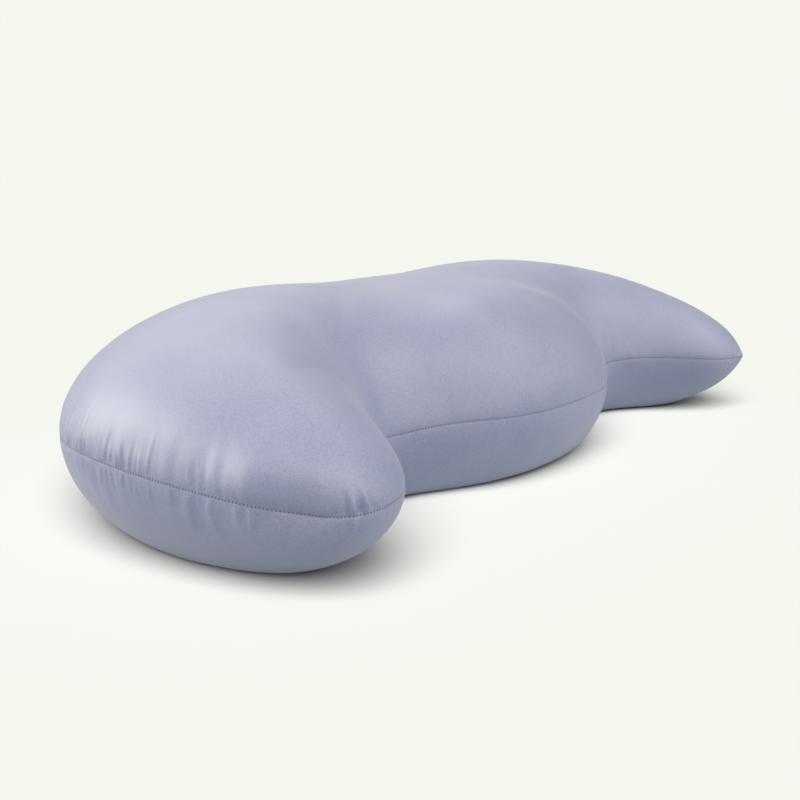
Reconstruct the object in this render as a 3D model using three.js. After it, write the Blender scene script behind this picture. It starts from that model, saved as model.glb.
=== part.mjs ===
// Contour support pillow: one soft filled solid, in millimetres, +Z up, resting on z = 0.
// X runs from wing to wing and +Y is the long back edge. The front (-Y) has three lobes: a wing
// at each end and a round lobe in the middle, with a notch between each wing and the middle lobe.
// An upper and a lower cloth panel meet in a single seam that runs right round the edge.

import * as THREE from 'three';

// The seam's outline seen from above. The right half is listed, and the left half mirrors it.
const OUTLINE = [
  { place: 'middle of the back', across: 0, along: 175 },
  { place: 'shoulder of the back', across: 188, along: 152 },
  { place: 'end of the pillow', across: 320, along: 3 },
  { place: 'outer corner of the wing', across: 298, along: -166 },
  { place: 'tip of the wing', across: 244, along: -171 },
  { place: 'inner side of the wing', across: 184, along: -103 },
  { place: 'bottom of the notch', across: 154, along: -92 },
  { place: 'shoulder of the middle lobe', across: 70, along: -140 },
  { place: 'front of the middle lobe', across: 0, along: -150 },
];
const NOTCH = OUTLINE.find((point) => point.place === 'bottom of the notch');

// Slopes below are given over these two lengths: half the pillow across, and 200 mm along.
const ACROSS_SPAN = 320;
const ALONG_SPAN = 200;

// Height of the seam. It rises to the two ends, and sinks towards the back, the wing tips and
// the bottom of each notch, where the cloth is pulled in.
const SEAM = {
  height: 52,
  riseAtEnds: 10,
  tiltToBack: 9,
  bow: 9,
  sinkAtWings: 16,
  notchDip: 5,
  notchDipRadius: 21,
};

// The upper panel's crown above the seam. A roundness below 1 gives full, steep sides.
const CROWN = { height: 98, lowerAtEnds: 0.07, lowerAtBack: 0.03, roundness: 0.53 };

// The soft valley that runs back from each notch. It leans in, and both end in one shallow dip
// across the middle of the back. The lean is the way back in which it comes 63 percent closer in.
const VALLEY = { depth: 14, halfWidth: 54, leanLength: 63, softening: 60 };

// The lower panel's belly under the seam, before the floor flattens it.
const BELLY = { depth: 116, roundness: 0.57 };

// The filling levels out the middle of a wide lobe: the pull back towards the seam, per mm squared.
const LEVELLING = 0.000087;

// Mesh: slices across the pillow, and steps from front to back along each slice.
const SLICES = 66;
const STEPS = 26;
const OUTLINE_SAMPLES = 1200;
const RELAX_SWEEPS = 900;
const RELAX_FACTOR = 1.8;

// Points along the right half of the seam, from the middle of the back round to the front.
function rightHalfOfSeam() {
  const mirrored = OUTLINE.slice(1, -1).reverse().map((point) => ({ ...point, across: -point.across }));
  const corners = [...OUTLINE, ...mirrored].map((point) => new THREE.Vector3(point.across, point.along, 0));
  const curve = new THREE.CatmullRomCurve3(corners, true, 'centripetal');
  const points = [];
  for (let i = 0; i <= OUTLINE_SAMPLES; i += 1) {
    points.push(curve.getPoint(i / OUTLINE_SAMPLES / 2));
  }
  return points;
}

// Where an edge, listed from the middle outwards, lies along Y at one distance from the middle.
function edgeAt(edge, across) {
  let k = 1;
  while (k < edge.length - 1 && edge[k].x < across) {
    k += 1;
  }
  const share = (across - edge[k - 1].x) / (edge[k].x - edge[k - 1].x);
  return THREE.MathUtils.lerp(edge[k - 1].y, edge[k].y, THREE.MathUtils.clamp(share, 0, 1));
}

// Even steps of 0..1, drawn together at both ends, where the surface turns down to the seam.
function eased(step, count) {
  return (1 - Math.cos((Math.PI * step) / count)) / 2;
}

// The plan of one panel: points in slices between the two ends, and the triangles that join them.
function planOfPanel() {
  const seam = rightHalfOfSeam();
  const widest = seam.reduce((best, point, k) => (point.x > seam[best].x ? k : best), 0);
  const back = seam.slice(0, widest + 1);
  const front = seam.slice(widest).reverse();
  const end = seam[widest];

  const points = [new THREE.Vector2(-end.x, end.y)];
  const onSeam = [true];
  for (let i = 1; i < SLICES; i += 1) {
    const x = THREE.MathUtils.lerp(-end.x, end.x, eased(i, SLICES));
    const near = edgeAt(front, Math.abs(x));
    const far = edgeAt(back, Math.abs(x));
    for (let j = 0; j <= STEPS; j += 1) {
      points.push(new THREE.Vector2(x, THREE.MathUtils.lerp(near, far, eased(j, STEPS))));
      onSeam.push(j === 0 || j === STEPS);
    }
  }
  points.push(new THREE.Vector2(end.x, end.y));
  onSeam.push(true);

  const last = points.length - 1;
  const at = (i, j) => 1 + (i - 1) * (STEPS + 1) + j;
  const triangles = [];
  for (let j = 0; j < STEPS; j += 1) {
    triangles.push([0, at(1, j), at(1, j + 1)]);
    triangles.push([last, at(SLICES - 1, j + 1), at(SLICES - 1, j)]);
  }
  for (let i = 1; i < SLICES - 1; i += 1) {
    for (let j = 0; j < STEPS; j += 1) {
      const [a, b, c, d] = [at(i, j), at(i + 1, j), at(i + 1, j + 1), at(i, j + 1)];
      if ((i + j) % 2) {
        triangles.push([a, b, c], [a, c, d]);
      } else {
        triangles.push([a, b, d], [b, c, d]);
      }
    }
  }
  return { points, onSeam, triangles };
}

// How far each point of the panel is pushed out, from 0 at the seam to 1 at the fullest place.
// The panel acts as a sheet that is held at the seam and pushed out evenly by the filling.
function fullness({ points, onSeam, triangles }) {
  const links = points.map(() => new Map());
  const push = points.map(() => 0);
  const link = (i, j, pull) => {
    links[i].set(j, (links[i].get(j) ?? 0) + pull);
    links[j].set(i, (links[j].get(i) ?? 0) + pull);
  };
  for (const [a, b, c] of triangles) {
    for (const [i, j, k] of [[a, b, c], [b, c, a], [c, a, b]]) {
      const toI = points[i].clone().sub(points[k]);
      const toJ = points[j].clone().sub(points[k]);
      const doubleArea = Math.abs(toI.cross(toJ));
      link(i, j, toI.dot(toJ) / doubleArea / 2);
      push[k] += doubleArea / 6;
    }
  }

  const rise = points.map(() => 0);
  for (let sweep = 0; sweep < RELAX_SWEEPS; sweep += 1) {
    points.forEach((point, i) => {
      if (onSeam[i]) {
        return;
      }
      let pulled = push[i];
      let total = push[i] * LEVELLING;
      links[i].forEach((pull, j) => {
        pulled += pull * rise[j];
        total += pull;
      });
      rise[i] += RELAX_FACTOR * (pulled / total - rise[i]);
    });
  }
  const fullest = Math.max(...rise);
  return rise.map((value) => Math.max(value, 0) / fullest);
}

// A smooth hump of height 1 and the given half-width.
function hump(distance, halfWidth) {
  return Math.exp((-distance * distance) / (2 * halfWidth * halfWidth));
}

function seamHeight({ x, y }) {
  const across = Math.abs(x) / ACROSS_SPAN;
  const along = y / ALONG_SPAN;
  const toNotch = Math.hypot(Math.abs(x) - NOTCH.across, y - NOTCH.along);
  return SEAM.height
    + SEAM.riseAtEnds * across ** 2
    - SEAM.tiltToBack * along
    - SEAM.bow * along ** 2
    + SEAM.sinkAtWings * across ** 2 * Math.min(along, 0)
    - SEAM.notchDip * hump(toNotch, SEAM.notchDipRadius);
}

function valleyDepth({ x, y }) {
  const behindNotch = Math.max(y - NOTCH.along, 0);
  const valleyAcross = NOTCH.across * Math.exp(-behindNotch / VALLEY.leanLength);
  const softened = (across) => Math.hypot(across, VALLEY.softening);
  return VALLEY.depth * hump(softened(x) - softened(valleyAcross), VALLEY.halfWidth);
}

function upperHeight(point, full) {
  const across = Math.abs(point.x) / ACROSS_SPAN;
  const along = point.y / ALONG_SPAN;
  const height = CROWN.height * (1 - CROWN.lowerAtEnds * across ** 2 - CROWN.lowerAtBack * along);
  return seamHeight(point) + height * full ** CROWN.roundness - valleyDepth(point) * Math.sqrt(full);
}

function lowerHeight(point, full) {
  return Math.max(seamHeight(point) - BELLY.depth * full ** BELLY.roundness, 0);
}

// Both panels as one closed surface that shares its seam points.
function pillowGeometry() {
  const plan = planOfPanel();
  const full = fullness(plan);
  const corners = [];
  const place = (point, z) => {
    corners.push(point.x, point.y, z);
    return corners.length / 3 - 1;
  };
  const upper = plan.points.map((point, i) => place(point, upperHeight(point, full[i])));
  const lower = plan.points.map((point, i) => (
    plan.onSeam[i] ? upper[i] : place(point, lowerHeight(point, full[i]))
  ));

  const faces = [];
  for (const [a, b, c] of plan.triangles) {
    faces.push(upper[a], upper[b], upper[c]);
    faces.push(lower[a], lower[c], lower[b]);
  }
  const geometry = new THREE.BufferGeometry();
  geometry.setAttribute('position', new THREE.Float32BufferAttribute(corners, 3));
  geometry.setIndex(faces);
  geometry.computeVertexNormals();
  return geometry;
}

// Soft lavender-grey satin cover.
const satin = new THREE.MeshStandardMaterial({ color: 0xafb3c9, roughness: 0.5, metalness: 0 });

const pillow = new THREE.Mesh(pillowGeometry(), satin);
pillow.name = 'pillow';

const supportPillow = new THREE.Group();
supportPillow.name = 'contour_support_pillow';
supportPillow.add(pillow);

export default supportPillow;
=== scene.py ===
# %% [markdown]
# # A contour support pillow in lavender satin
# The pillow has two wings, a round lobe in the middle of its front, and a notch on each side of that
# lobe. It is two satin panels, sewn together along one seam that runs right round the edge, turned and
# filled. Everything here is in metres and stands in the same frame as the CAD part: X runs from wing
# to wing, +Y is the long back edge, and Z is up from the floor.

# %% Load the frame
import math

import bmesh
import bpy
import numpy as np
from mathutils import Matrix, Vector
from mathutils.bvhtree import BVHTree
from mathutils.geometry import delaunay_2d_cdt
from mathutils.kdtree import KDTree


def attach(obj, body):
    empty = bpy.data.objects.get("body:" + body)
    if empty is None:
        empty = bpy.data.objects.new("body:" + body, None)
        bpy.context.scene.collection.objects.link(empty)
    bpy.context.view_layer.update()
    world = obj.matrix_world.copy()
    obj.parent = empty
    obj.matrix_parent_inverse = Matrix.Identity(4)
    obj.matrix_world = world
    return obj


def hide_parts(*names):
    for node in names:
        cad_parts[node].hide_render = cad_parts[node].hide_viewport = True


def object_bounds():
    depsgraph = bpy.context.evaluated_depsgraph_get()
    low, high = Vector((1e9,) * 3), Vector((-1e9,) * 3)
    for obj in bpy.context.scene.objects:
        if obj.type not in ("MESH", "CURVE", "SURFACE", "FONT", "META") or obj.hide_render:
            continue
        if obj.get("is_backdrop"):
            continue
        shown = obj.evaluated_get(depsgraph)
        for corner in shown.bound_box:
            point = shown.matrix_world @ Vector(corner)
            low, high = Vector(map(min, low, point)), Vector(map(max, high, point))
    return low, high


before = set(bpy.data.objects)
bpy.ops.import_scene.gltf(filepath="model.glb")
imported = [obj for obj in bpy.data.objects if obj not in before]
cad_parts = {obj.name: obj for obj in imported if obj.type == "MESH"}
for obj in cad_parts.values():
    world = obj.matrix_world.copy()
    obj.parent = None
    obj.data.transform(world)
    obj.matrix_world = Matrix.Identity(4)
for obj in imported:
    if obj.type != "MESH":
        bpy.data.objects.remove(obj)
cad_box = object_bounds()
MM = 0.001
print("CAD box in mm:", [[round(c / MM, 1) for c in corner] for corner in cad_box])

# %% [markdown]
# ## The camera
# A product photographer stands close to one wing and looks along the pillow, a little from above. A
# near camera makes the near wing look larger than the far one. The camera is placed by two angles and
# a distance from a point inside the pillow, so that it is easy to compare with the photograph.

# %% Camera
AIM = Vector((0.0, 12.0, 33.2)) * MM
CAMERA_AZIMUTH = math.radians(-53.85)
CAMERA_ELEVATION = math.radians(12.37)
CAMERA_DISTANCE = 820 * MM
LENS_LENGTH_MM = 45
SENSOR_WIDTH_MM = 36

towards_camera = Vector((
    math.sin(CAMERA_AZIMUTH) * math.cos(CAMERA_ELEVATION),
    -math.cos(CAMERA_AZIMUTH) * math.cos(CAMERA_ELEVATION),
    math.sin(CAMERA_ELEVATION),
))
camera = bpy.data.objects.new("camera", bpy.data.cameras.new("camera"))
camera.data.lens = LENS_LENGTH_MM
camera.data.sensor_width = SENSOR_WIDTH_MM
camera.data.clip_start = 10 * MM
camera.location = AIM + towards_camera * CAMERA_DISTANCE
camera.rotation_mode = "QUATERNION"
camera.rotation_quaternion = (-towards_camera).to_track_quat("-Z", "Y")
bpy.context.scene.collection.objects.link(camera)
bpy.context.scene.camera = camera
print("camera at", [round(c / MM) for c in camera.location], "mm")

# %% [markdown]
# ## A smooth guide to follow
# The CAD solid is made of flat facets about 10 mm wide, which satin would show. A copy of it is welded,
# its triangles are joined back into four-sided faces, and it is subdivided, so it becomes a smooth
# guide. The edges where a face that looks up meets one that looks down are the seam. They are marked
# before the subdivision, because a mark on an edge passes on to the edges it is split into.


# %% Helpers for meshes
def new_object(name, mesh):
    made = bpy.data.objects.new(name, mesh)
    bpy.context.scene.collection.objects.link(made)
    return made


def corners_of(mesh):
    flat = np.zeros(len(mesh.vertices) * 3)
    mesh.vertices.foreach_get("co", flat)
    return flat.reshape(-1, 3)


def move_corners(mesh, points):
    mesh.vertices.foreach_set("co", np.asarray(points, np.float32).ravel())
    mesh.update()


def finished(thing):
    """The object's mesh with its modifiers carried out, as a plain mesh."""
    bpy.context.view_layer.update()
    seen = thing.evaluated_get(bpy.context.evaluated_depsgraph_get())
    return bpy.data.meshes.new_from_object(seen)


def count_triangles(mesh):
    return sum(len(face.vertices) - 2 for face in mesh.polygons)


# %% The smooth guide
WELD_DISTANCE = 0.02 * MM
SEAM_LOWEST = 20 * MM
SUBDIVISIONS = 2

guide_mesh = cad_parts["pillow"].data.copy()
guide_mesh.materials.clear()
welder = bmesh.new()
welder.from_mesh(guide_mesh)
bmesh.ops.remove_doubles(welder, verts=welder.verts, dist=WELD_DISTANCE)
for edge in welder.edges:
    looks = [face.normal.z for face in edge.link_faces]
    high = min(vert.co.z for vert in edge.verts) > SEAM_LOWEST
    edge.seam = high and min(looks) < 0 < max(looks)
bmesh.ops.join_triangles(
    welder, faces=welder.faces, cmp_seam=True,
    angle_face_threshold=math.pi, angle_shape_threshold=math.pi,
)
welder.to_mesh(guide_mesh)
welder.free()

guide = new_object("guide", guide_mesh)
rounder = guide.modifiers.new("rounder", "SUBSURF")
rounder.levels = rounder.render_levels = SUBDIVISIONS
smooth_guide = finished(guide)
guide.modifiers.clear()
guide_points = corners_of(smooth_guide)
seam_edges = sum(edge.use_seam for edge in smooth_guide.edges)
print("guide:", len(smooth_guide.polygons), "faces, seam edges:", seam_edges)

# %% [markdown]
# ## The seam as a ruler
# The marked edges form one closed loop. It is walked from the middle of the back, round the near wing
# first, and measured. Every detail on the cover is then placed by two numbers that a sewer would
# use: how far along the seam it is, and how far in from the seam.


# %% The seam loop
def walk_loop(mesh):
    """The marked edges' corners in order, from the middle of the back towards -X."""
    beside = {}
    for edge in mesh.edges:
        if edge.use_seam:
            one, other = edge.vertices
            beside.setdefault(one, []).append(other)
            beside.setdefault(other, []).append(one)
    points = corners_of(mesh)
    start = max(beside, key=lambda k: points[k][1] - abs(points[k][0]))
    loop = [start, min(beside[start], key=lambda k: points[k][0])]
    while True:
        onward = next(k for k in beside[loop[-1]] if k != loop[-2])
        if onward == start:
            return points[loop]
        loop.append(onward)


def even_loop(points, count):
    """The same closed loop as a smooth curve through its points, with even spacing."""
    ahead = np.roll(points, -1, axis=0)
    steps = np.linalg.norm(ahead - points, axis=1)
    reached = np.concatenate([[0.0], np.cumsum(steps)])
    slopes = (ahead - np.roll(points, 1, axis=0)) / (steps + np.roll(steps, 1))[:, None]
    wanted = np.arange(count) * reached[-1] / count
    k = np.searchsorted(reached, wanted, side="right") - 1
    t = ((wanted - reached[k]) / steps[k])[:, None]
    width = steps[k][:, None]
    following = (k + 1) % len(points)
    return (
        points[k] * (1 + 2 * t) * (1 - t) ** 2 + slopes[k] * width * t * (1 - t) ** 2
        + points[following] * t * t * (3 - 2 * t) - slopes[following] * width * t * t * (1 - t)
    )


COLUMN_SPACING = 1.25 * MM
raw_loop = walk_loop(smooth_guide)
rough_length = np.linalg.norm(np.roll(raw_loop, -1, axis=0) - raw_loop, axis=1).sum()
COLUMNS = int(rough_length / COLUMN_SPACING)
seam = even_loop(even_loop(raw_loop, COLUMNS), COLUMNS)
seam_length = np.linalg.norm(np.roll(seam, -1, axis=0) - seam, axis=1).sum()
print("seam:", round(seam_length / MM), "mm round,", COLUMNS, "columns")

# %% [markdown]
# ## A mesh that follows the sewing
# Puckers start at the seam and run in from it, so the mesh does too: a column starts at each point
# of the seam and climbs the upper panel, and another goes down the lower panel, in rows that are
# close near the seam. That puts small faces where the small folds are. The plain middle of each
# panel is filled with larger, even triangles.


# %% Columns that climb each panel from the seam
ROW_DISTANCES = MM * np.array([
    0.7, 1.5, 2.5, 3.8, 5.4, 7.3, 9.6, 12.3, 15.5, 19.2, 23.4, 28.2, 33.6, 39.5,
])
LONGEST_STEP = 2.0 * MM
ROUNDING = 0.001

smooth_guide.calc_loop_triangles()
guide_tree = BVHTree.FromPolygons(
    [Vector(point) for point in guide_points],
    [tuple(tri.vertices) for tri in smooth_guide.loop_triangles],
)


def climb(start, seam_direction, heading):
    """Points on the guide at each row's distance from the seam, walking straight in from it."""
    spot = Vector(start)
    heading = Vector(heading)
    travelled = 0.0
    found = []
    for target in ROW_DISTANCES:
        stretch = target - travelled
        steps = math.ceil(stretch / LONGEST_STEP - ROUNDING)
        for _ in range(steps):
            outwards = guide_tree.find_nearest(spot)[1]
            forward = outwards.cross(seam_direction).normalized()
            if forward.dot(heading) < 0:
                forward.negate()
            spot = guide_tree.find_nearest(spot + forward * (stretch / steps))[0]
            heading = forward
        travelled = target
        found.append(tuple(spot))
    return found


def climb_all(rise):
    runs = np.roll(seam, -1, axis=0) - np.roll(seam, 1, axis=0)
    runs[:, 2] = 0
    runs /= np.linalg.norm(runs, axis=1)[:, None]
    return np.array([climb(seam[k], Vector(runs[k]), (0, 0, rise)) for k in range(COLUMNS)])


upper_columns = climb_all(1)
lower_columns = climb_all(-1)
print("columns:", upper_columns.shape, "lowest point:", round(lower_columns[..., 2].min() / MM, 2), "mm")

# %% The middle of each panel
FILL_SPACING = 3.2 * MM
# A point nearer to the last row than this share of the spacing is left out.
CLEAR_SHARE = 0.7
SAME_POINT = 1e-7
# Rays start this far above or below the pillow.
FAR = 1.0


def inside(points, loop):
    """Which points of the plan lie inside a closed loop, by how many of its sides each one's row crosses."""
    odd = np.zeros(len(points), bool)
    for (x0, y0), (x1, y1) in zip(loop, np.roll(loop, -1, axis=0)):
        if y0 != y1:
            spans = (y0 > points[:, 1]) != (y1 > points[:, 1])
            crossing = x0 + (points[:, 1] - y0) * (x1 - x0) / (y1 - y0)
            odd ^= spans & (points[:, 0] < crossing)
    return odd


def fill_plan(loop):
    """Even points inside the loop, and the triangles that join them to it."""
    low, high = loop.min(axis=0), loop.max(axis=0)
    lines = np.arange(low[1], high[1], FILL_SPACING * math.sqrt(3) / 2)
    spots = [
        (x, y)
        for row, y in enumerate(lines)
        for x in np.arange(low[0] + (row % 2) * FILL_SPACING / 2, high[0], FILL_SPACING)
    ]
    spots = np.array(spots)
    spots = spots[inside(spots, loop)]
    edge_tree = KDTree(len(loop))
    for k, (x, y) in enumerate(loop):
        edge_tree.insert((x, y, 0), k)
    edge_tree.balance()
    clear = [edge_tree.find((x, y, 0))[2] > CLEAR_SHARE * FILL_SPACING for x, y in spots]
    spots = spots[np.array(clear)]
    plan = [Vector(point) for point in np.vstack([loop, spots])]
    sides = [(k, (k + 1) % len(loop)) for k in range(len(loop))]
    placed, _, triangles, _, _, _ = delaunay_2d_cdt(plan, sides, [], 1, SAME_POINT)
    if len(placed) != len(plan):
        raise ValueError("the columns of a panel cross each other")
    return spots, [tuple(tri) for tri in triangles]


def height_at(spot, rise):
    hit = guide_tree.ray_cast(Vector((spot[0], spot[1], FAR * rise)), Vector((0, 0, -rise)))[0]
    return hit.z


upper_spots, upper_fill = fill_plan(upper_columns[:, -1, :2])
lower_spots, lower_fill = fill_plan(lower_columns[:, -1, :2])
upper_middle = np.array([(x, y, height_at((x, y), 1)) for x, y in upper_spots])
lower_middle = np.array([(x, y, height_at((x, y), -1)) for x, y in lower_spots])
print("middle points:", len(upper_middle), "above,", len(lower_middle), "below")

# %% Both panels as one closed cover
ROWS = len(ROW_DISTANCES)


def strip_faces(first, second):
    """Four-sided faces between two rings of columns."""
    k = np.arange(COLUMNS)
    onward = (k + 1) % COLUMNS
    return np.column_stack([first + k, first + onward, second + onward, second + k]).tolist()


cover_points = [seam]
cover_faces = []
panel_of = [np.zeros(COLUMNS)]
across_seam = [np.zeros(COLUMNS)]
along_seam = [np.arange(COLUMNS) * seam_length / COLUMNS]
for side, columns, middle, fill in (
    (1, upper_columns, upper_middle, upper_fill),
    (-1, lower_columns, lower_middle, lower_fill),
):
    base = sum(len(part) for part in cover_points)
    rings = [0] + [base + row * COLUMNS for row in range(ROWS)]
    faces = [face for low, high in zip(rings, rings[1:]) for face in strip_faces(low, high)]
    number = np.concatenate([
        np.arange(COLUMNS) + rings[-1],
        np.arange(len(middle)) + base + ROWS * COLUMNS,
    ])
    faces += [number[list(tri)].tolist() for tri in fill]
    cover_faces += faces if side > 0 else [face[::-1] for face in faces]
    cover_points += [columns[:, row] for row in range(ROWS)] + [middle]
    ring_tree = KDTree(COLUMNS)
    for k, point in enumerate(columns[:, -1]):
        ring_tree.insert(point, k)
    ring_tree.balance()
    nearest = [ring_tree.find(point) for point in middle]
    panel_of.append(np.full(ROWS * COLUMNS + len(middle), float(side)))
    across_seam += [np.full(COLUMNS, distance) for distance in ROW_DISTANCES]
    across_seam.append(np.array([ROW_DISTANCES[-1] + found[2] for found in nearest]))
    along_seam += [along_seam[0]] * ROWS + [along_seam[0][[found[1] for found in nearest]]]

rest_points = np.vstack(cover_points)
panel_of, across_seam, along_seam = map(np.concatenate, (panel_of, across_seam, along_seam))
cover_mesh = bpy.data.meshes.new("satin_cover_mesh")
cover_mesh.from_pydata(rest_points.tolist(), [], cover_faces)
print("cover:", len(rest_points), "points,", count_triangles(cover_mesh), "triangles")

# %% [markdown]
# ## How the filling pushes the cloth about
# Real satin isn't as even as a drawn surface: the filling pushes out, the sewn edge holds the cloth in,
# and it buckles a little between them. Blender's Cloth works that out on a coarser copy with even
# faces. Only the unevenness is kept: what moves a whole area in or out is taken away, and so the
# pillow keeps its size and outline.

# %% Cloth under pressure
VOXEL = 6 * MM
START_SCALE = 0.99
CLOTH_FRAMES = 20
CLOTH_PRESSURE = 4.0
EDGE_SHRINK = 0.025
EDGE_REACH = 22 * MM
AREA_SMOOTHING = 50
MOST_MOVE = 2.5 * MM


def even_copy():
    """The guide as even faces, closed, with no mark of the seam left."""
    remesh = guide.modifiers.new("even faces", "REMESH")
    remesh.mode = "VOXEL"
    remesh.voxel_size = VOXEL
    mesh = finished(guide)
    guide.modifiers.remove(remesh)
    return mesh


def averaged(values, edges, times):
    """Each corner's value moved towards its neighbours' mean, so that only broad changes are left."""
    share = np.bincount(edges.ravel(), minlength=len(values))[:, None]
    for _ in range(times):
        total = np.zeros_like(values)
        for axis in range(values.shape[1]):
            total[:, axis] = (
                np.bincount(edges[:, 0], values[edges[:, 1], axis], len(values))
                + np.bincount(edges[:, 1], values[edges[:, 0], axis], len(values))
            )
        values = 0.5 * values + 0.5 * total / share
    return values


def edges_of(mesh):
    flat = np.zeros(len(mesh.edges) * 2, np.int64)
    mesh.edges.foreach_get("vertices", flat)
    return flat.reshape(-1, 2)


def simulate_cloth():
    """Where the even copy's corners are at rest, and how the cloth's unevenness moves each one."""
    mesh = even_copy()
    rest = corners_of(mesh)
    middle = (rest.min(axis=0) + rest.max(axis=0)) / 2
    move_corners(mesh, middle + (rest - middle) * START_SCALE)
    cloth_piece = new_object("cloth", mesh)
    gathered = cloth_piece.vertex_groups.new(name="gathered edge")
    seam_tree = KDTree(COLUMNS)
    for k, point in enumerate(seam):
        seam_tree.insert(point, k)
    seam_tree.balance()
    for k, point in enumerate(rest):
        distance = seam_tree.find(point)[2]
        gathered.add([k], math.exp(-((distance / EDGE_REACH) ** 2)), "REPLACE")

    cloth = cloth_piece.modifiers.new("cloth", "CLOTH")
    settings = cloth.settings
    settings.quality = 5
    settings.mass = 0.1
    settings.tension_stiffness = settings.compression_stiffness = 12
    settings.shear_stiffness = 4
    settings.bending_stiffness = 0.05
    settings.air_damping = 2
    settings.use_pressure = True
    settings.uniform_pressure_force = CLOTH_PRESSURE
    settings.vertex_group_shrink = gathered.name
    settings.shrink_min = 0.0
    settings.shrink_max = EDGE_SHRINK
    settings.effector_weights.gravity = 0
    cloth.point_cache.frame_start = 1
    cloth.point_cache.frame_end = CLOTH_FRAMES
    for step in range(1, CLOTH_FRAMES + 1):
        bpy.context.scene.frame_set(step)
    moved = corners_of(finished(cloth_piece))
    bpy.context.scene.frame_set(1)
    edges = edges_of(mesh)
    bpy.data.objects.remove(cloth_piece)
    shift = moved - rest
    uneven = shift - averaged(shift, edges, AREA_SMOOTHING)
    size = np.linalg.norm(uneven, axis=1)
    mean_mm, max_mm = round(size.mean() / MM, 2), round(size.max() / MM, 2)
    print("cloth:", len(rest), "corners, unevenness mean", mean_mm, "max", max_mm, "mm")
    return rest, uneven * np.minimum(1, MOST_MOVE / np.maximum(size, 1e-9))[:, None]


# %% Carry the unevenness over to the cover
CARRY_RADIUS = 4.5 * MM
CARRY_NEIGHBOURS = 12


def carried(points, sources, moves):
    """Each point's share of the moves around it, the nearest counting most."""
    tree = KDTree(len(sources))
    for k, source in enumerate(sources):
        tree.insert(source, k)
    tree.balance()
    near = [tree.find_n(point, CARRY_NEIGHBOURS) for point in points]
    index = np.array([[found[1] for found in row] for row in near])
    distance = np.array([[found[2] for found in row] for row in near])
    weight = np.exp(-0.5 * (distance / CARRY_RADIUS) ** 2) + 1e-12
    return (moves[index] * weight[..., None]).sum(axis=1) / weight.sum(axis=1)[:, None]


EDGE_SHARE = 0.8
MIDDLE_SHARE = 0.3
SHARE_REACH = 35 * MM

cover_points = rest_points.copy()
sources, moves = simulate_cloth()
near_edge = np.exp(-((across_seam / SHARE_REACH) ** 2))
kept_share = MIDDLE_SHARE + (EDGE_SHARE - MIDDLE_SHARE) * near_edge
cover_points += carried(rest_points, sources, moves) * kept_share[:, None]
moved_mm = np.linalg.norm(cover_points - rest_points, axis=1) / MM
print("cover moved by up to", round(moved_mm.max(), 2), "mm")

# %% [markdown]
# ## Puckers, folds and the sewn crease
# Where two curved edges are sewn together there is more cloth than seam, so it gathers into puckers.
# They are closest where the seam turns hardest, at the ends of the wings, and nearly absent along the
# round middle lobe. Each pucker is a small ridge between two hollows, deepest just off the seam. The
# regular ones are drawn at random within each gathered stretch, from a fixed seed, and the few folds
# that catch the eye are listed one by one.

# %% Distances along and across the seam, in millimetres
along_mm = along_seam / MM
across_mm = across_seam / MM
LENGTH_MM = seam_length / MM


def from_place(place):
    """Distance along the seam from one place, the shorter way round."""
    return (along_mm - place + LENGTH_MM / 2) % LENGTH_MM - LENGTH_MM / 2


# %% Puckers
# place and spread: where along the seam the cloth is gathered, and how far to each side.
# gap: from one pucker to the next. up, down: length on the upper and the lower panel. depth: height.
GATHERS = [
    {"at": "end of the near wing", "place": 412, "spread": 62, "gap": 4.9,
     "up": 24, "down": 20, "depth": 0.90},
    {"at": "side of the near wing", "place": 505, "spread": 26, "gap": 5.0,
     "up": 16, "down": 15, "depth": 0.60},
    {"at": "tip of the near wing", "place": 588, "spread": 44, "gap": 6.0,
     "up": 12, "down": 15, "depth": 0.50},
    {"at": "round the near wing, soft", "place": 480, "spread": 140, "gap": 14,
     "up": 34, "down": 42, "depth": 0.45},
    {"at": "round the far wing, soft", "place": 1356, "spread": 140, "gap": 14,
     "up": 34, "down": 42, "depth": 0.45},
    {"at": "near notch", "place": 742, "spread": 40, "gap": 11.0,
     "up": 22, "down": 16, "depth": 0.30},
    {"at": "middle lobe", "place": 918, "spread": 120, "gap": 11.0,
     "up": 10, "down": 10, "depth": 0.10},
    {"at": "far notch", "place": 1094, "spread": 40, "gap": 11.0,
     "up": 22, "down": 16, "depth": 0.30},
    {"at": "tip of the far wing", "place": 1248, "spread": 44, "gap": 6.0,
     "up": 12, "down": 14, "depth": 0.36},
    {"at": "side of the far wing", "place": 1331, "spread": 26, "gap": 5.0,
     "up": 16, "down": 15, "depth": 0.60},
    {"at": "end of the far wing", "place": 1424, "spread": 62, "gap": 4.9,
     "up": 24, "down": 20, "depth": 0.60},
    {"at": "far shoulder of the back", "place": 1640, "spread": 110, "gap": 9.0,
     "up": 15, "down": 13, "depth": 0.16},
    {"at": "near shoulder of the back", "place": 196, "spread": 110, "gap": 9.0,
     "up": 15, "down": 13, "depth": 0.16},
]
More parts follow.
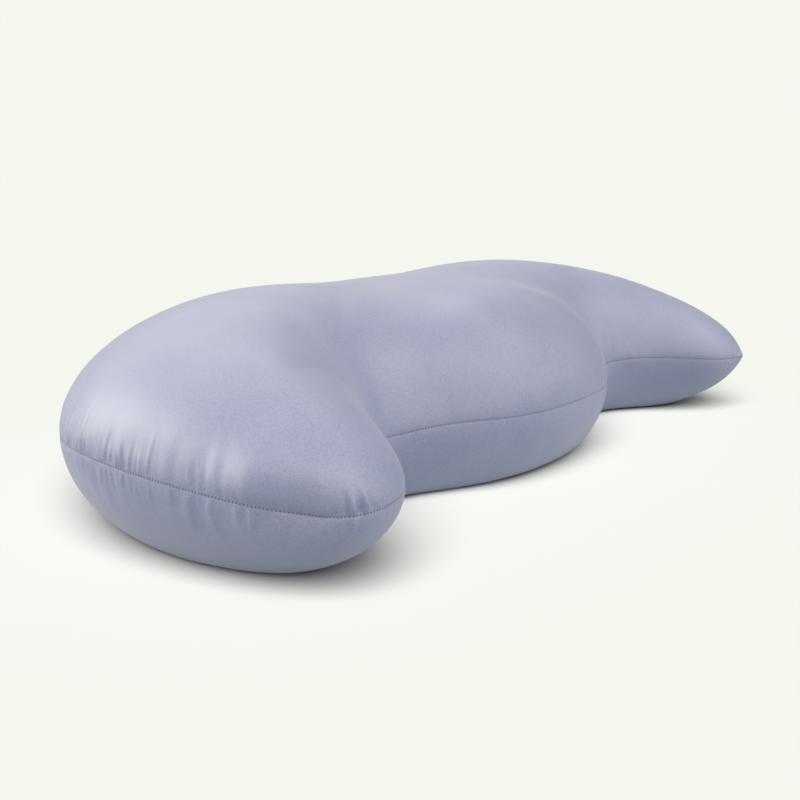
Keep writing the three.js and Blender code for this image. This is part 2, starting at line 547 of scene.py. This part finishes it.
# The folds that show most. A positive height is a ridge and a negative one a hollow.
FOLDS = [
    {"place": 581.0, "panel": 1, "length": 17, "width": 2.0, "height": 2.40, "lean": -0.10},
    {"place": 588.5, "panel": 1, "length": 16, "width": 1.9, "height": 2.05, "lean": -0.10},
    {"place": 596.0, "panel": 1, "length": 10, "width": 1.6, "height": 0.80, "lean": 0.00},
    {"place": 527.0, "panel": -1, "length": 16, "width": 2.0, "height": 1.50, "lean": 0.05},
    {"place": 519.0, "panel": -1, "length": 20, "width": 2.6, "height": 1.10, "lean": 0.05},
    {"place": 503.0, "panel": -1, "length": 24, "width": 3.2, "height": 0.90, "lean": 0.00},
    {"place": 489.0, "panel": -1, "length": 20, "width": 2.6, "height": 0.70, "lean": 0.00},
    {"place": 583.0, "panel": -1, "length": 13, "width": 1.6, "height": 1.50, "lean": -0.30},
    {"place": 592.0, "panel": -1, "length": 11, "width": 1.6, "height": 1.30, "lean": -0.30},
    {"place": 478.0, "panel": -1, "length": 13, "width": 1.8, "height": 0.60, "lean": 0.00},
]
PUCKER_SEED = 7
# The ranges that the draw picks from: shares of a row's gap, depth and lengths, and the lean.
GAP_RANGE = (0.65, 1.4)
STRENGTH_RANGE = (0.35, 1.25)
LEAN_RANGE = (-0.16, 0.16)
WIDTH_RANGE = (0.20, 0.34)
LENGTH_RANGE = (0.45, 1.25)
HEIGHT_RANGE = (0.5, 1.1)
# A fold is a little wider at its far end than at its start.
START_WIDTH = 0.8
WIDER_BY = 0.6
FADE_POWER = 1.8
# How far from the seam a fold reaches its height. Under the seam it takes longer, or its start would be
# a ledge that faces up and shines.
RISE_MM = {1: 1.5, -1: 4.0}


def fold(place, panel, length, width, height, lean):
    """Height of one fold at every point of the cover, in millimetres."""
    reach = np.clip(across_mm / length, 0, 1)
    fade = (1 - np.exp(-((across_mm / RISE_MM[panel]) ** 2))) * (1 - reach ** 2) ** FADE_POWER
    offset = (from_place(place) - lean * across_mm) / (width * (START_WIDTH + WIDER_BY * reach))
    profile = (1 - offset ** 2) * np.exp(-0.5 * offset ** 2)
    return height * fade * profile * (panel_of == panel)


def draw_puckers():
    """The summed height of all the regular puckers, in millimetres, and how many there are."""
    draw = np.random.default_rng(PUCKER_SEED)
    total = np.zeros(len(along_mm))
    count = 0
    for gather in GATHERS:
        place = gather["place"] - gather["spread"]
        while place < gather["place"] + gather["spread"]:
            place += gather["gap"] * draw.uniform(*GAP_RANGE)
            edge = abs(place - gather["place"]) / gather["spread"]
            strength = max(0.0, 1 - edge ** 3) * draw.uniform(*STRENGTH_RANGE)
            lean = draw.uniform(*LEAN_RANGE)
            width = gather["gap"] * draw.uniform(*WIDTH_RANGE)
            for panel, length in ((1, gather["up"]), (-1, gather["down"])):
                long = length * draw.uniform(*LENGTH_RANGE)
                height = gather["depth"] * strength * draw.uniform(*HEIGHT_RANGE)
                total += fold(place, panel, long, width, height, lean)
                count += 1
    return total, count


# Puckers that fall on one another share the same loose cloth, so their sum levels off.
MOST_PUCKER_MM = 1.3
pucker_height, pucker_count = draw_puckers()
pucker_height = MOST_PUCKER_MM * np.tanh(pucker_height / MOST_PUCKER_MM)
for row in FOLDS:
    pucker_height += fold(**row)
print("puckers:", pucker_count, "and", len(FOLDS), "folds, heights", pucker_height.min().round(2), "to",
      pucker_height.max().round(2), "mm")

# %% Soft hollows, swells and the sewn crease
# Broad shapes in the filling, by the same two distances. far is how far in from the seam. A positive
# height is a swell and a negative one a hollow.
BROAD_SHAPES = [
    {"at": "above the near wing's side", "place": 529, "panel": 1,
     "far": 13, "wide": 13, "tall": 15, "height": 3.6},
    {"at": "above the near wing's tip", "place": 588, "panel": 1,
     "far": 15, "wide": 9, "tall": 14, "height": 1.4},
    {"at": "under the near wing's side", "place": 540, "panel": -1,
     "far": 12, "wide": 22, "tall": 9, "height": -0.7},
    {"at": "above the far wing's side", "place": 1307, "panel": 1,
     "far": 13, "wide": 13, "tall": 15, "height": 2.0},
    {"at": "above the near wing's tuck", "place": 558, "panel": 1,
     "far": 20, "wide": 17, "tall": 9, "height": 2.6},
]
SETTLE_MM = 4.0
CREASE = {"depth": 0.30, "width": 0.8}
PULL = {"depth": 0.2, "width": 5.0}
# Where the seam itself is drawn into the filling, the cloth above it overhangs. A depth below zero
# is a corner that the seam holds out. drop is how far the seam also sinks there.
TUCKS = [
    {"place": 558, "wide": 20, "reach": 13, "depth": 7.2, "drop": 1.8},
    {"place": 1279, "wide": 21, "reach": 14, "depth": 2.5, "drop": 0.8},
    {"place": 1250, "wide": 11, "reach": 8, "depth": -4.0, "drop": 0.0},
]


def broad_shape(place, panel, far, wide, tall, height):
    """Height of one broad hollow or swell, in millimetres. It settles to nothing at the seam."""
    spread = (from_place(place) / wide) ** 2 + ((across_mm - far) / tall) ** 2
    settled = 1 - np.exp(-((across_mm / SETTLE_MM) ** 2))
    return height * settled * np.exp(-0.5 * spread) * (panel_of == panel)


relief = pucker_height - CREASE["depth"] * np.exp(-across_mm / CREASE["width"])
relief -= PULL["depth"] * np.exp(-((across_mm / PULL["width"]) ** 2))
for row in BROAD_SHAPES:
    relief += broad_shape(**{name: value for name, value in row.items() if name != "at"})
drop = np.zeros(len(relief))
for row in TUCKS:
    share = np.exp(-((from_place(row["place"]) / row["wide"]) ** 2))
    share *= np.exp(-across_mm / row["reach"])
    relief -= row["depth"] * share
    drop += row["drop"] * share
print("relief:", relief.min().round(2), "to", relief.max().round(2), "mm")


# %% Put the relief on the cover
def outwards_at(mesh):
    flat = np.zeros(len(mesh.vertices) * 3)
    mesh.vertices.foreach_get("normal", flat)
    return flat.reshape(-1, 3)


FLAT_UNDER = 0.3 * MM

move_corners(cover_mesh, cover_points)
shaped = cover_points + outwards_at(cover_mesh) * relief[:, None] * MM
shaped[:, 2] -= drop * MM
resting = rest_points[:, 2] < FLAT_UNDER
shaped[:, 2] = np.where(resting, 0, np.maximum(shaped[:, 2], 0))
move_corners(cover_mesh, shaped)
cover_mesh.polygons.foreach_set("use_smooth", [True] * len(cover_mesh.polygons))
print("cover size in mm:", ((shaped.max(axis=0) - shaped.min(axis=0)) / MM).round(1))

# %% [markdown]
# ## A map for the satin
# The cover gets one UV map, the ruler again: U is the distance along the seam and V the distance in
# from it, both in metres, with V below zero on the lower panel. The material uses it to paint shade into
# the needle holes and along the sewn crease, and to draw fine gathers beside the sewing. Where a face
# spans the start of the loop, its small U values have one full round added, so that nothing is stretched
# there.

# %% UV map
SEAM_MAP = "seam_map"
uv_layer = cover_mesh.uv_layers.new(name=SEAM_MAP)
loop_corner = np.zeros(len(cover_mesh.loops), np.int64)
cover_mesh.loops.foreach_get("vertex_index", loop_corner)
face_start = np.zeros(len(cover_mesh.polygons), np.int64)
face_size = np.zeros(len(cover_mesh.polygons), np.int64)
cover_mesh.polygons.foreach_get("loop_start", face_start)
cover_mesh.polygons.foreach_get("loop_total", face_size)
u = along_seam[loop_corner]
face_high = np.repeat(np.maximum.reduceat(u, face_start), face_size)
u = np.where(face_high - u > seam_length / 2, u + seam_length, u)
v = (across_seam * panel_of)[loop_corner]
uv_layer.data.foreach_set("uv", np.column_stack([u, v]).astype(np.float32).ravel())
u_high, v_low, v_high = (round(float(value), 3) for value in (u.max(), v.min(), v.max()))
print("map: U up to", u_high, "m, V from", v_low, "to", v_high, "m")

# %% [markdown]
# ## Satin
# Satin floats its threads over several others before it ties them in, so the face is smooth, reflects
# softly and has a pale sheen where it turns away. Its threads are about 0.1 mm thick, finer than a
# pixel here, so the weave is drawn coarser, as short streaks about 1 mm wide. The colour is a
# lavender grey.


# %% Helpers for materials
def linear(hex_colour):
    """An sRGB hex colour as the linear values that shaders use."""
    shares = [int(hex_colour[k:k + 2], 16) / 255 for k in (1, 3, 5)]
    return [c / 12.92 if c <= 0.04045 else ((c + 0.055) / 1.055) ** 2.4 for c in shares] + [1.0]


def add_node(tree, kind, settings=None, links=None):
    """Adds a node. settings holds its properties, or plain inputs by name or number. links holds sockets."""
    node = tree.nodes.new(kind)
    for name, value in (settings or {}).items():
        if isinstance(name, str) and name in node.bl_rna.properties:
            setattr(node, name, value)
        else:
            node.inputs[name].default_value = value
    for name, socket in (links or {}).items():
        tree.links.new(socket, node.inputs[name])
    return node


def fades_out(tree, distance, reach):
    """1 where the distance is nothing, going smoothly down to 0 at the reach."""
    return add_node(
        tree, "ShaderNodeMapRange",
        {"interpolation_type": "SMOOTHSTEP", "From Max": reach, "To Min": 1.0, "To Max": 0.0},
        {"Value": distance},
    ).outputs["Result"]


def spread_noise(tree, noise, low, high):
    """A noise, whose values lie mostly between 0.3 and 0.7, spread between two values."""
    return add_node(
        tree, "ShaderNodeMapRange",
        {"From Min": 0.3, "From Max": 0.7, "To Min": low, "To Max": high},
        {"Value": noise},
    ).outputs["Result"]


def new_material(name):
    material = bpy.data.materials.new(name)
    material.use_nodes = True
    return material, material.node_tree, material.node_tree.nodes["Principled BSDF"]


# %% The stitch's sizes
STITCH_PITCH = 2.05 * MM
stitch_count = round(seam_length / STITCH_PITCH)
pitch = seam_length / stitch_count
print("stitches:", stitch_count, "at", round(pitch / MM, 3), "mm")

# %% Satin material
satin, tree, shader = new_material("lavender_satin")
shader.inputs["IOR"].default_value = 1.55
shader.inputs["Specular IOR Level"].default_value = 1.0
shader.inputs["Sheen Weight"].default_value = 0.25
shader.inputs["Sheen Roughness"].default_value = 0.45
shader.inputs["Sheen Tint"].default_value = linear("#f4f4fa")

place = add_node(tree, "ShaderNodeTexCoord").outputs["Object"]
ruler = add_node(tree, "ShaderNodeUVMap", {"uv_map": SEAM_MAP}).outputs["UV"]
ruler_parts = add_node(tree, "ShaderNodeSeparateXYZ", links={0: ruler})
along, across = ruler_parts.outputs["X"], ruler_parts.outputs["Y"]
from_seam = add_node(tree, "ShaderNodeMath", {"operation": "ABSOLUTE"}, {0: across}).outputs[0]

# Dye takes a little unevenly: broad, faint patches about 40 mm wide.
PATCHES_PER_METRE = 24.0
patches = add_node(
    tree, "ShaderNodeTexNoise", {"Scale": PATCHES_PER_METRE, "Detail": 3.0}, {"Vector": place}
).outputs["Fac"]
# The weave, drawn coarser than its 0.1 mm threads: streaks about 1 mm wide and 2 mm long.
STREAKS_PER_METRE = 1100.0
STREAK_STRETCH = (0.45, 1.0, 1.0)
streak_place = add_node(
    tree, "ShaderNodeMapping", {"Scale": STREAK_STRETCH}, {"Vector": place}
).outputs["Vector"]
weave = add_node(
    tree, "ShaderNodeTexNoise",
    {"Scale": STREAKS_PER_METRE, "Detail": 2.0, "Roughness": 0.7},
    {"Vector": streak_place},
).outputs["Fac"]

# The places of a colour mix's two colours among its inputs, and of the mixed colour among its outputs.
MIX_A, MIX_B, MIX_OUT = 6, 7, 2
dyed = spread_noise(tree, patches, 0.0, 1.0)
cloth_colour = add_node(
    tree, "ShaderNodeMix",
    {"data_type": "RGBA", MIX_A: linear("#838ab2"), MIX_B: linear("#8c92b8")},
    {0: dyed},
).outputs[MIX_OUT]
grain = spread_noise(tree, weave, 0.85, 1.15)
woven_colour = add_node(
    tree, "ShaderNodeVectorMath", {"operation": "SCALE"}, {0: cloth_colour, "Scale": grain}
).outputs["Vector"]

# Needle holes: a small dot of painted shade at each end of a stitch, on the seam, for the shade inside
# the hole. Half its length is a share of the pitch. The dots are wider than real holes, which would be finer
# than a pixel.
HOLE_HALF_LENGTH = 0.36
HOLE_HALF_WIDTH = 0.95 * MM
HOLE_SHADE_COLOUR = "#0c1a58"
CREASE_SHADE = 0.33
step_place = add_node(
    tree, "ShaderNodeMath", {"operation": "MULTIPLY_ADD", 1: 1 / pitch, 2: 0.5}, {0: along}
).outputs[0]
to_hole = add_node(tree, "ShaderNodeMath", {"operation": "PINGPONG", 1: 0.5}, {0: step_place}).outputs[0]
hole_shade_along = fades_out(tree, to_hole, HOLE_HALF_LENGTH)
seam_shade_across = fades_out(tree, from_seam, HOLE_HALF_WIDTH)
hole_shade = add_node(
    tree, "ShaderNodeMath", {"operation": "MULTIPLY"}, {0: hole_shade_along, 1: seam_shade_across}
).outputs[0]
# The crease between the holes is in its own shadow: a thin line, paler than the holes.
crease_shade = add_node(
    tree, "ShaderNodeMath", {"operation": "MULTIPLY", 1: CREASE_SHADE}, {0: seam_shade_across}
).outputs[0]
# Painted shade along the seam: the stronger of the hole shade and the crease shade, mixed into the satin's
# colour.
painted_seam_shade = add_node(
    tree, "ShaderNodeMath", {"operation": "MAXIMUM"}, {0: hole_shade, 1: crease_shade}
).outputs[0]
seam_shaded_colour = add_node(
    tree, "ShaderNodeMix",
    {"data_type": "RGBA", MIX_B: linear(HOLE_SHADE_COLOUR)},
    {0: painted_seam_shade, MIX_A: woven_colour},
).outputs[MIX_OUT]
tree.links.new(seam_shaded_colour, shader.inputs["Base Color"])

# Threads catch the light unevenly, so the gloss varies with the weave.
gloss = spread_noise(tree, weave, 0.40, 0.54)
tree.links.new(gloss, shader.inputs["Roughness"])

# Fine gathers: lines about 3 mm apart that start at the seam and fade within 14 mm.
GATHERS_PER_METRE = 330.0
GATHER_STRETCH = (1.0, 0.10, 1.0)
GATHER_REACH = 14 * MM
gather_place = add_node(
    tree, "ShaderNodeMapping", {"Scale": GATHER_STRETCH}, {"Vector": ruler}
).outputs["Vector"]
gathers = add_node(
    tree, "ShaderNodeTexNoise",
    {"noise_dimensions": "2D", "Scale": GATHERS_PER_METRE, "Detail": 1.0},
    {"Vector": gather_place},
).outputs["Fac"]
gather_fade = fades_out(tree, from_seam, GATHER_REACH)
gather_height = add_node(
    tree, "ShaderNodeMath", {"operation": "MULTIPLY"}, {0: gathers, 1: gather_fade}
).outputs[0]
gather_bump = add_node(
    tree, "ShaderNodeBump", {"Strength": 0.35, "Distance": 0.25 * MM}, {"Height": gather_height}
).outputs["Normal"]
weave_bump = add_node(
    tree, "ShaderNodeBump",
    {"Strength": 0.35, "Distance": 0.06 * MM},
    {"Height": weave, "Normal": gather_bump},
).outputs["Normal"]
tree.links.new(weave_bump, shader.inputs["Normal"])
cover_mesh.materials.append(satin)
print("satin:", len(tree.nodes), "nodes")

# %% [markdown]
# ## Stitches
# A lockstitch runs along the seam: short lengths of thread, each pulled down at both ends into a needle
# hole. There are hundreds, all alike, so Geometry Nodes lay one small stitch at even steps along
# the seam's curve, turned to follow it, and a little crooked as real ones are.

# %% The line that the stitches follow
THREAD_LIFT = 0.10 * MM
stitch_line = bpy.data.curves.new("stitch_line", "CURVE")
stitch_line.dimensions = "3D"
spline = stitch_line.splines.new("POLY")
spline.points.add(stitch_count - 1)
seam_points = shaped[:COLUMNS] + outwards_at(cover_mesh)[:COLUMNS] * THREAD_LIFT
column = np.arange(stitch_count) * COLUMNS / stitch_count
before = column.astype(int)
share = (column - before)[:, None]
line_points = seam_points[before] * (1 - share) + seam_points[(before + 1) % COLUMNS] * share
weighted_points = np.column_stack([line_points, np.ones(stitch_count)])
spline.points.foreach_set("co", weighted_points.astype(np.float32).ravel())
spline.use_cyclic_u = True
stitches = new_object("seam_stitches", stitch_line)
print("stitch line:", stitch_count, "points")

# %% Thread material
# Polyester thread, dyed a little paler than the satin: round and a little glossy.
thread, tree, shader = new_material("matched_polyester_thread")
shader.inputs["Roughness"].default_value = 0.5
shader.inputs["Specular IOR Level"].default_value = 0.4
place = add_node(tree, "ShaderNodeTexCoord").outputs["Object"]
STRANDS_PER_METRE = 900.0
strands = add_node(
    tree, "ShaderNodeTexNoise", {"Scale": STRANDS_PER_METRE, "Detail": 1.0}, {"Vector": place}
).outputs["Fac"]
thread_colour = add_node(
    tree, "ShaderNodeMix",
    {"data_type": "RGBA", MIX_A: linear("#9a9fba"), MIX_B: linear("#c2c6d8")},
    {0: strands},
).outputs[MIX_OUT]
tree.links.new(thread_colour, shader.inputs["Base Color"])
strand_bump = add_node(
    tree, "ShaderNodeBump", {"Strength": 0.3, "Distance": 0.05 * MM}, {"Height": strands}
).outputs["Normal"]
tree.links.new(strand_bump, shader.inputs["Normal"])
print("thread:", len(tree.nodes), "nodes")

# %% The stitch tree
STITCH_SIZES = {
    "Stitch length": ("NodeSocketFloat", 1.1 * MM),
    "Thread thickness": ("NodeSocketFloat", 0.32 * MM),
    "Crookedness": ("NodeSocketFloat", math.radians(5)),
    "Seed": ("NodeSocketInt", 3),
}
stitch_tree = bpy.data.node_groups.new("stitches_along_seam", "GeometryNodeTree")
stitch_tree.interface.new_socket("Geometry", in_out="INPUT", socket_type="NodeSocketGeometry")
identifiers = {
    name: stitch_tree.interface.new_socket(name, in_out="INPUT", socket_type=kind).identifier
    for name, (kind, _) in STITCH_SIZES.items()
}
stitch_tree.interface.new_socket("Geometry", in_out="OUTPUT", socket_type="NodeSocketGeometry")
given = add_node(stitch_tree, "NodeGroupInput").outputs

steps = add_node(
    stitch_tree, "GeometryNodeResampleCurve", {"mode": "EVALUATED"}, {"Curve": given["Geometry"]}
)
bead = add_node(
    stitch_tree, "GeometryNodeMeshUVSphere", {"Segments": 6, "Rings": 4, "Radius": 0.5}
)
bead_size = add_node(
    stitch_tree, "ShaderNodeCombineXYZ",
    links={"X": given["Thread thickness"], "Y": given["Thread thickness"], "Z": given["Stitch length"]},
)
stitch_shape = add_node(
    stitch_tree, "GeometryNodeTransform",
    links={"Geometry": bead.outputs["Mesh"], "Scale": bead_size.outputs[0]},
)
tangent = add_node(stitch_tree, "GeometryNodeInputTangent")
facing = add_node(
    stitch_tree, "FunctionNodeAlignRotationToVector", {"axis": "Z"}, {"Vector": tangent.outputs[0]}
)
tilt_low = add_node(
    stitch_tree, "ShaderNodeMath", {"operation": "MULTIPLY", 1: -1.0}, {0: given["Crookedness"]}
)
tilt = add_node(
    stitch_tree, "FunctionNodeRandomValue", {"data_type": "FLOAT_VECTOR"},
    {"Min": tilt_low.outputs[0], "Max": given["Crookedness"], "Seed": given["Seed"]},
)
crooked = add_node(
    stitch_tree, "FunctionNodeRotateRotation", {"rotation_space": "LOCAL"},
    {"Rotation": facing.outputs[0], "Rotate By": tilt.outputs[0]},
)
laid = add_node(
    stitch_tree, "GeometryNodeInstanceOnPoints",
    links={"Points": steps.outputs["Curve"], "Instance": stitch_shape.outputs["Geometry"],
           "Rotation": crooked.outputs["Rotation"]},
)
real = add_node(
    stitch_tree, "GeometryNodeRealizeInstances", links={"Geometry": laid.outputs["Instances"]}
)
rounded = add_node(
    stitch_tree, "GeometryNodeSetShadeSmooth", links={"Geometry": real.outputs["Geometry"]}
)
coloured = add_node(
    stitch_tree, "GeometryNodeSetMaterial", {"Material": thread}, {"Geometry": rounded.outputs["Geometry"]}
)
add_node(stitch_tree, "NodeGroupOutput", links={"Geometry": coloured.outputs["Geometry"]})
print("stitch tree:", len(stitch_tree.nodes), "nodes")

# %% Lay the stitches
sewing = stitches.modifiers.new("sewing", "NODES")
sewing.node_group = stitch_tree
for name, (_, value) in STITCH_SIZES.items():
    sewing[identifiers[name]] = value
stitch_mesh = finished(stitches)
bpy.data.objects.remove(stitches)
stitch_mesh.materials.clear()
stitch_mesh.materials.append(thread)
stitch_mesh.polygons.foreach_set("material_index", [0] * len(stitch_mesh.polygons))
stitches = new_object("seam_stitches", stitch_mesh)
print("stitches:", count_triangles(stitch_mesh), "triangles")

# %% [markdown]
# ## Studio
# The pillow lies on a plain pale floor that runs to the horizon, and the air behind has the floor's own
# brightness, so no edge shows. Wide lamps stand far away, as softboxes would: one low at the side of the
# near wing, one overhead, a weak one behind, one in front and a weak one low down. The side seen here
# gets the least, so the front of the near wing is darker than its top.

# %% Floor
FLOOR_HALF = 60.0
floor_mesh = bpy.data.meshes.new("floor")
floor_corners = [
    (x * FLOOR_HALF, y * FLOOR_HALF, 0.0) for x, y in ((-1, -1), (1, -1), (1, 1), (-1, 1))
]
floor_mesh.from_pydata(floor_corners, [], [[0, 1, 2, 3]])
floor = new_object("floor", floor_mesh)
paper, tree, shader = new_material("pale_background_paper")
shader.inputs["Roughness"].default_value = 0.9
shader.inputs["Specular IOR Level"].default_value = 0.0
# The paper is pale to the eye, and darker to the light that bounces off it, which keeps the pillow's
# underside in shade.
seen = add_node(tree, "ShaderNodeLightPath").outputs["Is Camera Ray"]
paper_colour = add_node(
    tree, "ShaderNodeMix",
    {"data_type": "RGBA", MIX_A: linear("#b1b4ad"), MIX_B: linear("#e7e8e0")},
    {0: seen},
).outputs[MIX_OUT]
tree.links.new(paper_colour, shader.inputs["Base Color"])
floor_mesh.materials.append(paper)
floor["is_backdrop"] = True
print("floor:", 2 * FLOOR_HALF, "m wide")

# %% Air and lights
AIR_STRENGTH = 0.17
BACKDROP = "#f5f6ee"
world = bpy.data.worlds.new("soft_air")
bpy.context.scene.world = world
world.use_nodes = True
tree = world.node_tree
air = tree.nodes["Background"]
air.inputs["Color"].default_value = (1.0, 1.0, 1.0, 1.0)
air.inputs["Strength"].default_value = AIR_STRENGTH
backdrop = add_node(tree, "ShaderNodeBackground", {"Color": linear(BACKDROP), "Strength": 1.0})
seen = add_node(tree, "ShaderNodeLightPath").outputs["Is Camera Ray"]
both = add_node(
    tree, "ShaderNodeMixShader", links={0: seen, 1: air.outputs[0], 2: backdrop.outputs[0]}
)
tree.links.new(both.outputs[0], tree.nodes["World Output"].inputs["Surface"])
bpy.context.scene.view_settings.view_transform = "Standard"

# wide: how many degrees of the sky the light fills, so a large number gives soft shadows.
# on: what the light falls on. The floor has a light of its own from above, as a studio's floor has.
LIGHTS = [
    {"name": "side_light", "azimuth": -150, "elevation": 20, "wide": 50, "strength": 2.5, "on": "pillow"},
    {"name": "top_light", "azimuth": 180, "elevation": 80, "wide": 110, "strength": 1.5, "on": "pillow"},
    {"name": "back_light", "azimuth": 155, "elevation": 45, "wide": 60, "strength": 0.55, "on": "pillow"},
    {"name": "front_light", "azimuth": 10, "elevation": 21, "wide": 100, "strength": 2.45, "on": "pillow"},
    {"name": "low_light", "azimuth": -60, "elevation": 3, "wide": 120, "strength": 0.75, "on": "pillow"},
    {"name": "floor_light", "azimuth": -54, "elevation": 48, "wide": 55, "strength": 4.12, "on": "floor"},
]
LIGHT_COLOUR = "#fffbea"
LIGHT_DISTANCE = 2.0
lit = {name: bpy.data.collections.new(name + "_lit") for name in ("pillow", "floor")}
lit["floor"].objects.link(floor)
for row in LIGHTS:
    lamp = bpy.data.lights.new(row["name"], "SUN")
    lamp.energy = row["strength"]
    if row["on"] == "pillow":
        lamp.color = linear(LIGHT_COLOUR)[:3]
    lamp.angle = math.radians(row["wide"])
    azimuth, elevation = math.radians(row["azimuth"]), math.radians(row["elevation"])
    from_light = Vector((
        math.sin(azimuth) * math.cos(elevation),
        -math.cos(azimuth) * math.cos(elevation),
        math.sin(elevation),
    ))
    light = bpy.data.objects.new(row["name"], lamp)
    light.location = from_light * LIGHT_DISTANCE
    light.rotation_mode = "QUATERNION"
    light.rotation_quaternion = from_light.to_track_quat("Z", "Y")
    bpy.context.scene.collection.objects.link(light)
    light.light_linking.receiver_collection = lit[row["on"]]
print("lights:", len(LIGHTS))

# %% [markdown]
# ## The finished pieces
# Each finished piece is named and tied to the part's one body. The plain CAD solid is hidden, and the
# satin cover stands in its place.

# %% Finish
bpy.data.objects.remove(guide)
cover = new_object("satin_cover", cover_mesh)
for piece in (cover, stitches):
    lit["pillow"].objects.link(piece)
    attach(piece, "root")
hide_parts("pillow")

sizes = {"cad": [list(c) for c in cad_box], "visual": [list(c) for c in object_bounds()]}
for name, box in sizes.items():
    print(name, "box in mm:", [[round(c / MM, 1) for c in corner] for corner in box])
